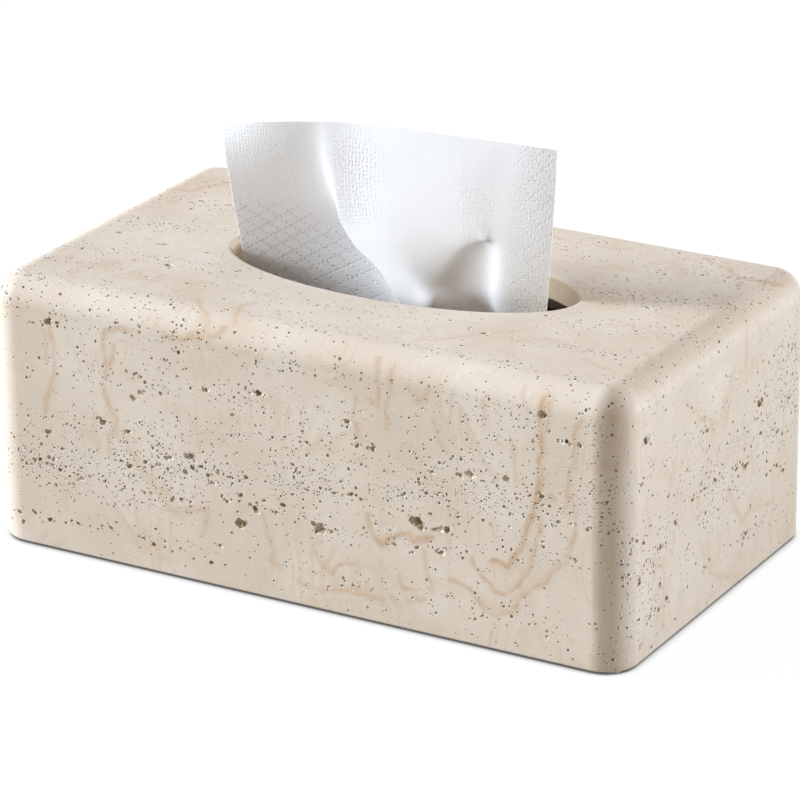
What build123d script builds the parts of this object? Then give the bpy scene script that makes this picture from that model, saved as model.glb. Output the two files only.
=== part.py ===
"""Stone tissue box cover with an oval slot, standing over a carton of pop-up tissues.

Millimetres, +Z up, the table at z = 0, the long side along X and the front at -Y.
"""

import os
from math import sqrt

from build123d import *

# Stone cover: a bottomless box with softly rounded edges
cover_length = 256.0
cover_width = 148.0
cover_height = 101.6
cover_corner_radius = 12.0
cover_top_radius = 10.5
cover_wall = 9.0
cover_top_thickness = 10.5
cavity_corner_radius = 6.0
cavity_ceiling_radius = 5.0
cavity_draft_angle = 0.5
rim_edge_chamfer = 0.8
rounding_limit_share = 0.9

# Oval slot through the top of the cover
slot_length = 138.4
slot_width = 60.0
slot_right_shift = 2.0
slot_lip_radius = 2.0
slot_under_chamfer = 1.0

# Round pads under the rim, one at each corner
pad_diameter = 8.0
pad_thickness = 0.9
pad_edge_chamfer = 0.25

# Tissue carton inside the cover
carton_end_clearance = 4.0
carton_side_clearance = 6.0
carton_headroom = 18.0
card_thickness = 0.6
carton_fold_radius = 1.4
carton_opening_length = 150.0
carton_opening_width = 46.0
dust_flap_depth = 46.0
bottom_flap_share = 0.72
top_flap_share = 0.6
flap_corner_chamfer = 5.0
flap_side_clearance = 0.5

# Slit film glued under the carton opening
film_margin = 16.0
film_thickness = 0.15
slit_width = 3.0
slit_end_clearance = 6.0

# Interfolded tissues
sheet_count = 56
sheet_end_clearance = 5.0
sheet_side_clearance = 3.4
leaf_thickness = 0.15
leaf_pitch = 0.5
fold_chamfer = 0.4
leaf_end_gap = 1.5

# The tissue standing in the slot
popup_width = 124.0
popup_shift = 1.5
popup_thickness = 0.8
popup_fold_depth = 16.0
popup_straight_rise = 2.0
popup_rise_left = 46.0
popup_rise_right = 53.0
popup_across_shares = (-0.5, -0.3, -0.1, 0.1, 0.24, 0.37, 0.5)
popup_level_shares = (0.0, 0.4, 0.7, 1.0)
popup_fold_shares = (
    (0.0, 0.0, 0.0, 0.0, 0.0, 0.0, 0.0),
    (-0.2, -0.06, 0.05, -0.75, -0.1, 0.25, 0.2),
    (-0.35, -0.16, 0.0, -0.5, -0.1, 0.2, 0.3),
    (-0.45, -0.24, 0.0, -0.15, 0.0, 0.15, 0.35),
)

# Cuts run this far past the faces that they open
cut_overrun = 2.0

# Sizes that follow from the ones above
cover_top = pad_thickness + cover_height
cavity_length = cover_length - 2 * cover_wall
cavity_width = cover_width - 2 * cover_wall
cavity_height = cover_height - cover_top_thickness
carton_length = cavity_length - 2 * carton_end_clearance
carton_width = cavity_width - 2 * carton_side_clearance
carton_height = pad_thickness + cavity_height - carton_headroom
sleeve_half = carton_length / 2 - 3 * card_thickness
carton_fold_inside = carton_fold_radius - card_thickness
film_length = carton_opening_length + 2 * film_margin
film_width = carton_opening_width + 2 * film_margin
film_top = carton_height - card_thickness
slit_length = popup_width + 2 * slit_end_clearance
sheet_length = 2 * sleeve_half - 2 * sheet_end_clearance
sheet_depth = carton_width - 2 * card_thickness - 2 * sheet_side_clearance
stack_top = card_thickness + (2 * sheet_count + 1) * leaf_pitch + leaf_thickness
popup_base = carton_height + popup_straight_rise


def make_cover_shell():
    """Rounded stone box, open below, with the oval slot in its top."""
    foot = Plane.XY.offset(pad_thickness)
    shell = extrude(foot * RectangleRounded(cover_length, cover_width, cover_corner_radius), cover_height)
    top_radius = min(cover_top_radius, rounding_limit_share * cover_corner_radius)
    shell = fillet(shell.faces().sort_by(Axis.Z)[-1].edges(), top_radius)

    cavity_plan = foot * RectangleRounded(cavity_length, cavity_width, cavity_corner_radius)
    cavity = extrude(cavity_plan, cavity_height, taper=cavity_draft_angle)
    ceiling_radius = min(cavity_ceiling_radius, rounding_limit_share * cavity_corner_radius)
    cavity = fillet(cavity.faces().sort_by(Axis.Z)[-1].edges(), ceiling_radius)
    shell = shell - cavity

    slot_floor = Plane.XY.offset(cover_top - cover_top_thickness - cut_overrun)
    slot_plan = slot_floor * Pos(slot_right_shift, 0) * Ellipse(slot_length / 2, slot_width / 2)
    shell = shell - extrude(slot_plan, cover_top_thickness + 2 * cut_overrun)

    level_faces = shell.faces().filter_by(Axis.Z).sort_by(Axis.Z)
    under_edge = level_faces[-2].inner_wires()[0].edges()
    shell = fillet(level_faces[-1].inner_wires()[0].edges(), slot_lip_radius)
    shell = chamfer(under_edge, slot_under_chamfer)
    return chamfer(shell.faces().sort_by(Axis.Z)[0].edges(), rim_edge_chamfer)


def make_pad(side_x, side_y):
    """One round pad, centred on the rim where the corner is widest."""
    outer_inset = cover_corner_radius * (1 - 1 / sqrt(2))
    inner_inset = cover_wall + cavity_corner_radius * (1 - 1 / sqrt(2))
    inset = (outer_inset + inner_inset) / 2
    centre_x = side_x * (cover_length / 2 - inset)
    centre_y = side_y * (cover_width / 2 - inset)
    pad = extrude(Pos(centre_x, centre_y) * Circle(pad_diameter / 2), pad_thickness)
    return chamfer(pad.edges().sort_by(Axis.Z)[0], pad_edge_chamfer)


def make_carton_sleeve():
    """Card tube lying along X, with the oval opening in its top panel."""
    outside = RectangleRounded(carton_width, carton_height, carton_fold_radius)
    inside_width = carton_width - 2 * card_thickness
    inside_height = carton_height - 2 * card_thickness
    inside = RectangleRounded(inside_width, inside_height, carton_fold_inside)
    wall = Plane.YZ * Pos(0, carton_height / 2) * (outside - inside)
    sleeve = extrude(wall, sleeve_half, both=True)
    opening_floor = Plane.XY.offset(film_top - cut_overrun)
    opening = opening_floor * Ellipse(carton_opening_length / 2, carton_opening_width / 2)
    return sleeve - extrude(opening, card_thickness + 2 * cut_overrun)


def make_folded_flap(edge_z, layers, reach, direction):
    """End flap turned over from the top or the bottom panel, lying on the flaps before it."""
    outer_x = sleeve_half + layers * card_thickness
    inner_x = outer_x - card_thickness
    turn_z = edge_z + direction * card_thickness
    free_z = edge_z + direction * reach
    half_width = carton_width / 2 - flap_side_clearance
    outline = Polyline(
        (sleeve_half, -half_width, edge_z),
        (outer_x, -half_width, edge_z),
        (outer_x, -half_width, free_z),
        (inner_x, -half_width, free_z),
        (inner_x, -half_width, turn_z),
        (sleeve_half, -half_width, turn_z),
        close=True,
    )
    flap = extrude(make_face(outline), 2 * half_width, dir=(0, 1, 0))
    across = flap.edges().filter_by(Axis.X).group_by(Axis.Z)
    free_edges = across[-1] if direction > 0 else across[0]
    return chamfer(free_edges, flap_corner_chamfer)


def make_carton_end():
    """Four glued flaps closing the right end of the carton."""
    flap_height = carton_height - 2 * card_thickness
    flaps = []
    for side in (-1, 1):
        centre_y = side * (carton_width / 2 - dust_flap_depth / 2)
        centre = Pos(sleeve_half + card_thickness / 2, centre_y, carton_height / 2)
        flaps.append(centre * Box(card_thickness, dust_flap_depth, flap_height))
    flaps.append(make_folded_flap(0, 2, bottom_flap_share * carton_height, 1))
    flaps.append(make_folded_flap(carton_height, 3, top_flap_share * carton_height, -1))
    return flaps


def make_window_film():
    """Clear film with a long slit, glued under the opening."""
    film_floor = Plane.XY.offset(film_top - film_thickness)
    slit = SlotOverall(slit_length, slit_width)
    return extrude(film_floor * (Rectangle(film_length, film_width) - slit), film_thickness)


def make_folded_sheet(place):
    """One tissue of the stack, folded once, its fold on alternate sides; place 0 is the top."""
    side = 1 if place % 2 == 0 else -1
    upper_top = stack_top - 2 * place * leaf_pitch
    upper_under = upper_top - leaf_thickness
    lower_top = upper_under - 3 * leaf_pitch + leaf_thickness
    lower_under = lower_top - leaf_thickness
    fold_inset = fold_chamfer - leaf_thickness
    fold_y = side * sheet_depth / 2
    turn_y = side * (sheet_depth / 2 - fold_chamfer)
    inner_y = side * (sheet_depth / 2 - leaf_thickness)
    free_y = -side * (sheet_depth / 2 - leaf_end_gap)
    profile = (
        (free_y, upper_top),
        (turn_y, upper_top),
        (fold_y, upper_top - fold_chamfer),
        (fold_y, lower_under + fold_chamfer),
        (turn_y, lower_under),
        (free_y, lower_under),
        (free_y, lower_top),
        (turn_y, lower_top),
        (inner_y, lower_top + fold_inset),
        (inner_y, upper_under - fold_inset),
        (turn_y, upper_under),
        (free_y, upper_under),
    )
    outline = Polyline(*[(-sheet_length / 2, y, z) for y, z in profile], close=True)
    return extrude(make_face(outline), sheet_length, dir=(1, 0, 0))


def popup_point(across_share, level_share, fold_share, depth):
    """Point on the standing tissue, at a share of its width and of its height."""
    x = across_share * popup_width - popup_shift
    rise = popup_rise_left + (across_share + 1 / 2) * (popup_rise_right - popup_rise_left)
    z = popup_base + level_share * (cover_top + rise - popup_base)
    return (x, fold_share * popup_fold_depth + depth, z)


def popup_side(level_share, fold_shares, depth):
    """One face of the tissue at a level: straight in the slit, three arcs above it."""
    places = zip(popup_across_shares, fold_shares)
    points = [popup_point(across, level_share, fold, depth) for across, fold in places]
    triples = [points[start:start + 3] for start in (0, 2, 4)]
    if level_share > 0:
        return [ThreePointArc(*triple) for triple in triples], points
    return [Line(triple[0], triple[-1]) for triple in triples], points


def popup_section(level_share, fold_shares):
    """Closed outline of the tissue at a level."""
    front, front_points = popup_side(level_share, fold_shares, -popup_thickness / 2)
    back, back_points = popup_side(level_share, fold_shares, popup_thickness / 2)
    ends = [Line(front_points[place], back_points[place]) for place in (0, -1)]
    return make_face(front + back + ends)


def make_popup_tissue():
    """Folded sheet that rises from the stack, through the slit, and opens above the cover."""
    sections = [popup_section(*level) for level in zip(popup_level_shares, popup_fold_shares)]
    leaf = extrude(sections[0], popup_base - stack_top, dir=(0, 0, -1))
    return leaf + loft(sections)


nodes = {
    "cover_shell": [make_cover_shell()],
    "pad_front_left": [make_pad(-1, -1)],
    "pad_front_right": [make_pad(1, -1)],
    "pad_back_left": [make_pad(-1, 1)],
    "pad_back_right": [make_pad(1, 1)],
    "carton_sleeve": [make_carton_sleeve()],
    "carton_end_right": make_carton_end(),
    "carton_end_left": [mirror(flap, Plane.YZ) for flap in make_carton_end()],
    "window_film": [make_window_film()],
    "tissue_stack": [make_folded_sheet(place) for place in range(1, sheet_count)],
    "next_tissue": [make_folded_sheet(0)],
    "popup_tissue": [make_popup_tissue()],
}

os.makedirs("parts", exist_ok=True)
for name, pieces in nodes.items():
    solids = [solid for piece in pieces for solid in piece.solids()]
    shape = solids[0] if len(solids) == 1 else Compound(children=solids)
    shape.label = name
    export_step(shape, os.path.join("parts", name + ".step"))
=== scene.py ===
import itertools
import math
import random

import bmesh
import bpy
from bpy.props import FloatProperty, FloatVectorProperty, IntProperty, PointerProperty
from mathutils import Matrix, Vector, noise


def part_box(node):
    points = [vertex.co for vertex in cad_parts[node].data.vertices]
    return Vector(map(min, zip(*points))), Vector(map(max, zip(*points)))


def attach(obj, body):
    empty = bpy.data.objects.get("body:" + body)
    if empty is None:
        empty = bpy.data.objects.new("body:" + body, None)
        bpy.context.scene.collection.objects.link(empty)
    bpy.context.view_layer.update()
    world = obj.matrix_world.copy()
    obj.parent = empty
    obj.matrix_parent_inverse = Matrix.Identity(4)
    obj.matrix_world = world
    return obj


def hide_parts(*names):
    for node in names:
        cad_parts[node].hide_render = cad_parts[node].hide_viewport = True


bl_info = {
    "name": "Stone tissue cover",
    "version": (1, 0, 0),
    "blender": (4, 5, 0),
    "location": "3D View > Sidebar > Tissue cover",
    "description": "A pitted stone cover over a carton of pop-up tissues",
    "category": "Add Mesh",
}

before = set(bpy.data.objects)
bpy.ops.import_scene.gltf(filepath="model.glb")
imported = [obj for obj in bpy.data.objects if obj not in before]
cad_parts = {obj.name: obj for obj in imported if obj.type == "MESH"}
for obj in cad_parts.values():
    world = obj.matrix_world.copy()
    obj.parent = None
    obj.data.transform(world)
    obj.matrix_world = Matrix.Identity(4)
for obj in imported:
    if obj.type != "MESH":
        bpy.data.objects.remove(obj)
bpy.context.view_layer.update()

MM = 0.001
PER_MM = 1000.0
COVER_LOW, COVER_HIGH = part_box("cover_shell")
NEXT_LOW, NEXT_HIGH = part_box("next_tissue")
CARTON_LOW, CARTON_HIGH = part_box("carton_sleeve")

TISSUE_FOOT_GAP = 0.2 * MM
# Share of its room in the pile that a leaf fills, and how far it may lie aside in millimetres
LEAF_SHARE = 0.8
LEAF_SLIDE = 0.6
# How closely a face has to look the way of the true rounded skin to be shaded as it
SKIN_MATCH = 0.93
# Size of the patches in which the stone is more or less open
PATCH_SIZE = 14 * MM

# Shapes for the large holes, the small ones and the pinholes: how many, fineness, unevenness
HOLE_SHAPES = ((5, 2, 0.26), (4, 1, 0.24), (3, 1, 0.20))
# How far the bowls of the large holes are flattened, and how far a hollow is turned in radians
BOWL_FLATNESS = 0.6
HOLE_TILT = 0.6
# Scattered holes and pinholes in millimetres: least, largest and commonest size
HOLE_HEIGHTS = (0.8, 2.0, 1.0)
PINHOLE_SIZES = (0.24, 0.70, 0.30)
# A pinhole's radii as shares of its size, along, across and in; and the layer that it is cut with
PINHOLE_RADII = ((1.0, 1.6), (0.9, 1.3), (1.0, 1.5))
PINHOLE_LAYER = 2
# How many nested lines the stone's hills give
CONTOUR_LEVELS = 14.0
# Half the steps between the tissue's pressed lines and between the dots on them, in millimetres
DIAMOND_STEP = 2.9
DOT_STEP = 1.1

# Lamps: side, azimuth, elevation and spread in degrees
LAMPS = (("left", -71, 14, 16), ("right", 130, 2, 10), ("top", -80, 60, 40))
# Share of plain white in the floor that the camera sees
FLOOR_WHITE = 0.92
# How far the camera stands beside and over the line to the cover's middle
CAMERA_RIGHT = -0.16 * MM
CAMERA_UP = 0.81 * MM

# Pores too small to cut: cells per millimetre, radius in millimetres, share of the cells
PORE_SIZES = ((0.85, 0.28, 0.44), (0.55, 0.40, 0.36), (0.36, 0.55, 0.24))
# Where a pore's painted highlight lies from its middle, to its lower right; millimetres along and up a side
HIGHLIGHT_OFFSET = (0.30, -0.27, 0.0)

# Slots of the cover's mesh
LONG_SIDE, END_SIDE, TOP_SIDE, INSIDE, PIT = range(5)

# Veins: width of the line, fade of the wash on the left of its run, strength, then the places that it
# passes; millimetres. On the long sides a place is along X and up.
LONG_VEINS = (
    (0.9, 5, 1, (97, 97), (96, 90), (97, 79), (96, 65), (94, 55), (89, 41), (84, 33), (79, 34)),
    (0.8, 3, 0.6, (100, 97), (100, 89), (99, 86)),
    (0.8, 4, 0.75, (71, 32), (75, 27), (79, 22), (83, 22), (88, 25), (92, 32), (96, 44), (98, 52)),
    (0.8, 4, 0.65, (62, 24), (70, 22), (74, 16), (79, 13), (86, 15), (89, 22), (98, 30), (107, 39),
     (110, 51)),
    (0.7, 4, 0.45, (110, 51), (109, 64)),
    (0.8, 4, 0.45, (51, 32), (53, 23), (55, 17)),
    (1, 3.5, 0.85, (30, 41), (31, 36), (35, 32), (39, 34), (46, 37), (48, 34), (55, 38)),
    (0.8, 3.5, 0.55, (41, 21), (43, 16), (48, 16)),
    (0.8, 3, 0.55, (38, 12), (42, 9), (48, 13), (53, 14)),
    (0.9, 4, 0.6, (7, 23), (9, 18), (13, 16), (19, 20), (24, 22)),
    (0.8, 4, 0.55, (2, 9), (11, 8), (22, 10), (35, 10)),
    (0.8, 3, 0.65, (34, 100), (34, 82), (30, 84)),
    (0.8, 4, 0.55, (25, 83), (24, 77), (27, 69)),
    (0.8, 3.5, 0.5, (40, 97), (37, 81), (37, 74)),
    (1.2, 3, 0.6, (47, 91), (51, 87), (54, 92)),
    (0.7, 3, 0.4, (75, 92), (75, 86)),
    (0.7, 3, 0.35, (86, 79), (87, 65)),
    (0.7, 3, 0.4, (90, 100), (91, 93)),
    (0.8, 4, 0.55, (113, 93), (110, 88), (108, 70), (107, 61), (105, 58)),
    (0.8, 4, 0.4, (56, 81), (57, 74), (61, 70)),
    (0.8, 2.5, 0.55, (103, 61), (100, 64), (98, 60)),
    (0.9, 4.5, 0.55, (-78, 69), (-77, 61), (-74, 56), (-77, 49), (-77, 44)),
    (0.8, 4, 0.5, (-100, 86), (-99, 70), (-104, 59), (-105, 52)),
    (0.7, 3, 0.4, (-103, 85), (-103, 74)),
    (0.9, 3, 0.65, (-68, 91), (-72, 91), (-77, 89), (-78, 81), (-76, 72)),
    (0.9, 2.5, 0.6, (-73, 84), (-74, 80), (-77, 74)),
    (0.9, 4, 0.75, (-52, 91), (-43, 92), (-33, 95), (-28, 99), (-25, 103)),
    (0.8, 3, 0.55, (-43, 93), (-37, 98), (-35, 103)),
    (0.9, 6, 0.45, (-68, 43), (-62, 35), (-56, 31), (-52, 26), (-47, 26), (-37, 29)),
    (0.8, 4, 0.4, (-57, 42), (-54, 32)),
    (0.8, 4, 0.35, (-37, 28), (-39, 19)),
    (0.9, 4.5, 0.55, (-13, 32), (-10, 19), (-11, 15), (-6, 13)),
)
# On the ends a place is along Y and up.
END_VEINS = (
    (0.9, 5, 0.35, (20, 96), (20, 82)),
    (0.9, 6, 0.35, (10, 85), (4, 79), (-2, 69), (-14, 75), (-28, 86)),
    (1, 6, 0.45, (7, 41), (12, 32), (19, 23), (26, 26), (44, 22)),
    (0.8, 4, 0.35, (43, 34), (43, 6)),
    (0.8, 4, 0.3, (52, 60), (49, 30)),
    (0.8, 4, 0.3, (-42, 26), (-43, 8)),
    (1, 6, 0.3, (-14, 26), (-4, 12), (13, 5)),
    (0.8, 5, 0.3, (-56, 60), (-50, 30)),
)
# On the top a place is along X and along Y.
TOP_VEINS = (
    (0.9, 4, 0.6, (-120, 35), (-111, 36), (-109, 43), (-104, 52), (-96, 60)),
    (1, 4, 0.6, (-25, -72), (-26, -67), (-30, -59), (-27, -54)),
    (0.9, 4, 0.5, (-35, -72), (-39, -67), (-47, -60)),
    (0.9, 4, 0.6, (91, 61), (100, 57), (109, 50), (116, 49), (122, 52), (126, 59)),
    (0.8, 3, 0.45, (115, 39), (113, 46)),
    (1, 5, 0.3, (78, 46), (85, 56)),
    (1, 5, 0.3, (64, 39), (74, 38)),
    (0.8, 3, 0.35, (115, -33), (121, -41)),
    (0.9, 4, 0.35, (98, -47), (111, -52)),
    (1, 6, 0.35, (-90, 60), (-66, 66), (-40, 62)),
    (1, 6, 0.35, (20, 60), (40, 54), (60, 56)),
    (1, 6, 0.3, (-100, -60), (-95, -47), (-84, -36)),
    (0.9, 5, 0.4, (40, -60), (50, -53), (56, -44)),
)

# Larger holes seen on each side: two places on the side, length along the bed, height; millimetres
LONG_HOLES = (
    (-15, 78, 9.5, 2.6), (-102, 88, 4.4, 3), (-66, 66, 3.2, 2), (-62, 69, 3.6, 2), (-47, 87, 2.6, 1.8),
    (-36, 75, 3.4, 2), (-80, 55, 4.4, 2.4), (-103, 46, 3.2, 2), (-69, 53, 2.8, 2.2), (-43, 48, 4.8, 2.8),
    (-52, 46, 3.8, 2.6), (-102, 36, 3.4, 2), (-22, 27, 5, 3), (-17, 34, 4, 2.8), (11, 32, 9, 3.4),
    (21, 74, 3.6, 2.4), (25, 66, 3, 2.2), (31, 66, 3.4, 2.2), (49, 42, 4.4, 4.6), (56, 41, 2.6, 2.2),
    (60, 42, 4.6, 3), (66, 63, 2.8, 2), (70, 64, 3.8, 2.6), (106, 83, 6, 3), (112, 83, 2.2, 1.4),
    (117, 84, 2.2, 1.4), (-32, 17, 3.6, 2), (58, 33, 3.2, 2), (55, 62, 2.6, 1.6), (84, 65, 3, 1.8),
    (97, 62, 3.4, 2.2), (-34, 40, 3, 2), (0, 52, 3, 1.8), (110, 41, 3.4, 1.6), (98, 91, 2, 3),
)
END_HOLES = (
    (-57, 82, 6, 3), (31, 65, 4.6, 3.2), (-10, 69, 3.4, 1.8), (21, 44, 4.2, 2.4), (46, 48, 3.2, 1.8),
    (-34, 43, 3, 1.8), (-58, 45, 3.4, 1.8), (-45, 38, 3, 1.8), (22, 18, 3, 1.8), (-61, 31, 2.6, 2.2),
    (-40, 17, 3, 1.8), (-60, 7, 2.6, 2), (-60, 67, 2.6, 1.6), (56, 58, 3, 1.8),
)
TOP_HOLES = (
    (-74, -36, 5, 2.2), (-88, -18, 3.4, 1.6), (-70, -18, 3, 1.4), (-109, -15, 3, 1.6),
    (-104, -49, 2.6, 1.4), (71, 9, 3.6, 1.6), (96, 7, 3, 2), (114, 42, 2.6, 1.4), (58, -42, 3.2, 1.6),
    (-90, 30, 3, 1.6), (111, 29, 2.6, 1.8), (-30, 50, 3, 1.6), (30, 58, 3, 1.4),
)
# Rows of small crumbled pits: from and to place, step between pits, their height; millimetres
LONG_ROWS = (
    (-74, 41, -16, 45, 2.8, 1.7), (-114, 33, -85, 32, 2.6, 1.8), (-32, 36, -4, 36, 3.2, 1.8),
    (-73, 32, -37, 29, 4.2, 1.6),
    (-118, 12, -75, 14, 3.6, 1.5), (-65, 13, -28, 9, 4, 1.5), (-70, 77, -54, 71, 2.8, 1.5),
    (-5, 53, 10, 54, 3, 1.2),
    (2, 46, 29, 47, 2.8, 1.5), (34, 32, 76, 35, 4.4, 1.4), (82, 61, 101, 59, 1.9, 1.3),
    (67, 11, 100, 13, 3.4, 1.2),
    (85, 37, 92, 37, 2.2, 1.2), (12, 11, 33, 15, 4, 1.4), (67, 85, 77, 84, 1.6, 0.9),
    (-112, 86, -96, 90, 2.6, 1.5),
    (40, 52, 62, 54, 2.6, 1.2), (100, 52, 122, 55, 3, 1.3), (-60, 84, -40, 80, 4, 1.2),
    (60, 47, 80, 48, 3.2, 1.2),
)
END_ROWS = (
    (-14, 70, -4, 68, 2.6, 1.2), (-22, 48, -3, 47, 2.4, 1.4), (7, 46, 25, 46, 2.2, 1.5),
    (38, 36, 54, 32, 2.4, 1.5),
    (24, 67, 37, 66, 2.6, 1.4), (42, 50, 55, 46, 2.6, 1.4), (-69, 49, -55, 47, 2.4, 1.5),
    (-51, 40, -42, 38, 2.6, 1.4),
    (-62, 31, -58, 37, 2.2, 1.4), (-60, 17, -37, 16, 3, 1.5), (-15, 17, -6, 18, 2.6, 1.3),
    (15, 18, 26, 16, 2.6, 1.3),
    (-43, 55, -32, 55, 2.6, 1.3), (-19, 38, 0, 36, 3, 1.2),
)
TOP_ROWS = (
    (80, -21, 88, -22, 1.8, 1), (105, -10, 115, -3, 1.6, 1), (89, -9, 94, -10, 1.8, 1),
    (69, 8, 74, 11, 2, 1.2),
    (36, 50, 45, 47, 2, 1), (74, 30, 80, 31, 2, 1), (109, 51, 117, 51, 1.8, 1.1),
    (73, 2, 99, 8, 2.2, 0.9),
    (106, 29, 125, 33, 2.8, 0.9), (-93, -18, -87, -18, 2, 1), (-98, -28, -79, -33, 2.4, 1.1),
    (-88, -59, -79, -63, 2.4, 1),
    (-65, -55, -57, -57, 2.4, 1), (-114, -35, -107, -35, 2.4, 1), (-60, 48, -40, 52, 3, 1),
    (-20, 60, 10, 56, 3.2, 1),
)

# Beds where the stone is open: height at the middle, rise per millimetre along, half depth, weight
LONG_BEDS = (
    (48, 0.11, 6.5, 1),
    (33, 0.07, 4, 0.55),
    (62, 0.1, 5, 0.6),
    (76, 0.04, 4.5, 0.35),
    (92, -0.02, 5, 0.45),
    (15, 0.02, 3, 0.25),
)
END_BEDS = (
    (52, 0.2, 9, 0.9),
    (34, 0.22, 5, 0.5),
    (72, 0.1, 6, 0.35),
    (17, 0.05, 3.5, 0.3),
)
TOP_BEDS = (
    (-24, 0.1, 4, 0.8),
    (-44, 0.05, 3, 0.6),
    (8, 0.08, 6, 0.7),
    (36, 0.1, 4, 0.6),
    (56, 0.05, 4, 0.4),
    (-64, 0.02, 3, 0.55),
)

# The standing tissue as upright folds, from its left edge to its right edge. Each fold starts in the slit
# of the film and goes up to the top edge: along X, along Y, height over the cover's top; millimetres.
TISSUE_FOLDS = {
    "left_edge": (
        (-62, 0, -26), (-62, -3.4, -12), (-62.1, -5.4, -4), (-62.2, -7, 4), (-62.1, -8.9, 10.3),
        (-62.3, -10.4, 16.7), (-62.8, -11.2, 22.7), (-64.2, -11.4, 30.9), (-66, -10.4, 39.4),
        (-68.7, -7.3, 45.6)),
    "left_panel_outer": (
        (-51, 0.1, -26), (-51, -2.1, -12), (-50.9, -3.6, -4), (-51.2, -5, 4), (-51.5, -6, 10),
        (-51.6, -7.6, 16.4), (-52.1, -8.3, 22.4), (-53, -9.1, 31.4), (-54.4, -8.9, 40.6), (-56, -7.3, 48.2)),
    "left_panel_inner": (
        (-40, 0.2, -26), (-40, -0.8, -12), (-40.2, -1.8, -4), (-40.3, -2.9, 4), (-40.5, -3.8, 10),
        (-40.6, -5, 16.2), (-41.1, -5.6, 22.2), (-42.2, -6.1, 31.2), (-43.4, -6.4, 41.4),
        (-44.5, -5.6, 49.9)),
    "panel_border": (
        (-29, 0.4, -26), (-30.4, 0.4, -12), (-30.2, -0.2, -4), (-29.9, -1, 4), (-29.4, -1.8, 10),
        (-29, -2.6, 16), (-29.6, -3.2, 22), (-31, -3.6, 31), (-32.4, -3.5, 41.5), (-34, -2.8, 50.6)),
    "recess": (
        (4, 0.8, -26), (4, 2.5, -12), (3, 3, -4), (1, 3, 4), (-4, 2, 10),
        (-12, 0.5, 16), (-20.5, -2.4, 20.5), (-26.5, -4.2, 31), (-28.5, -3.8, 42), (-29, -2.4, 51.2)),
    "front_edge": (
        (0, -0.1, -26), (9, -11.4, -12), (5.3, -12.8, -4.5), (-1.8, -10.1, 3.3), (-12.6, -8.9, 8.2),
        (-16.8, -7.9, 13.3), (-20.9, -7.4, 18.5), (-24.5, -5.4, 30), (-25.8, -4.2, 41.6),
        (-25.8, -1.9, 51.6)),
    "front_layer_left": (
        (9, -0.7, -26), (13, -11.8, -12), (10.1, -13.2, -4.7), (4.6, -10.2, 2.9), (-3.8, -9, 8.9),
        (-9.6, -8, 14.5), (-13.5, -6.4, 20.5), (-16.2, -4.2, 30.1), (-16.2, -3.2, 41.8), (-16.8, -0.8, 52.1)),
    "front_layer_ridge": (
        (15, -0.8, -26), (16, -12, -12), (13.7, -13.6, -5.7), (12.6, -10.4, 2.9), (7.9, -9.4, 9.6),
        (5.1, -8.4, 15.8), (2.7, -7, 21.8), (0.7, -5.1, 31.4), (0.3, -3.5, 43.2), (0.3, -1.4, 53.3)),
    "arch_left": (
        (21, -0.6, -26), (20.5, -12, -12), (23.4, -16.2, -2.4), (20.2, -8.4, -1.5), (22.7, -7.4, 4.3),
        (26.5, -6.8, 11), (29.4, -6.8, 15.2), (22.5, -5.2, 32.6), (21.9, -3.2, 44.1), (21.5, -0.6, 53.6)),
    "arch_inside_left": (
        (27, -0.3, -26), (26.5, -6, -12), (24.8, -9, -5.5), (21.9, -4.4, -0.6), (26.2, -4.4, 7.2),
        (35, -4.4, 19.6), (36.1, -6.2, 18.4), (30.2, -4.8, 33.3), (29.8, -2.7, 44.4), (29.1, -0.1, 53.6)),
    "arch_inside_right": (
        (34, 0, -26), (36.5, 0.3, -12), (35.8, -2.2, -6.3), (36.6, -2.5, 0.7), (38.1, -3, 8.3),
        (39.2, -4, 18.5), (41, -5.5, 17.9), (36.5, -4.2, 32.8), (37.5, -2.1, 44.5), (37.1, 0.3, 53.7)),
    "arch_right": (
        (39, 0, -26), (41, -3, -12), (41.2, -4.7, -3.7), (42, -4.8, 3.5), (42.4, -4.8, 10.4),
        (43.2, -4.9, 16.4), (44.5, -4.8, 21.2), (43.4, -3.5, 32.7), (42.6, -1.5, 43.9), (43.7, 0.8, 53.8)),
    "bright_strip": (
        (45, 0.1, -26), (45.9, -3.4, -12), (46.2, -4.8, -3.2), (46.5, -4.9, 4.9), (46.9, -4.8, 11.1),
        (47.4, -4.6, 17.3), (48.1, -4.2, 23.5), (48.5, -2.9, 33.7), (49.4, -0.9, 44.6), (50, 1.2, 53.7)),
    "right_panel": (
        (53.3, 0.2, -26), (54, -2.2, -12), (54.7, -3.3, -2.2), (55.5, -3.5, 6.2), (56, -3.5, 12.4),
        (56.3, -3.3, 18.6), (56.6, -2.9, 24.6), (56.8, -1.6, 34.4), (56.6, 0.3, 44.9), (56.4, 2.1, 53.7)),
    "right_edge": (
        (59.3, 0.2, -26), (60.4, -1.6, -12), (61, -2, -2.1), (61.8, -2.2, 6.2), (62.2, -2.2, 12.4),
        (62.6, -2, 18.5), (62.8, -1.6, 24.5), (62.8, -0.3, 34.2), (62.5, 1.5, 44.7), (62.2, 3.1, 53.3)),
}
# Folds pressed to an edge: from and to fold, from and to step up it, sharpness
TISSUE_CREASES = (
    ("front_edge", "front_edge", 3, 8, 1),
    ("front_edge", "front_edge", 8, 9, 0.5),
    ("arch_inside_left", "arch_inside_right", 8, 8, 0.5),
)
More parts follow.
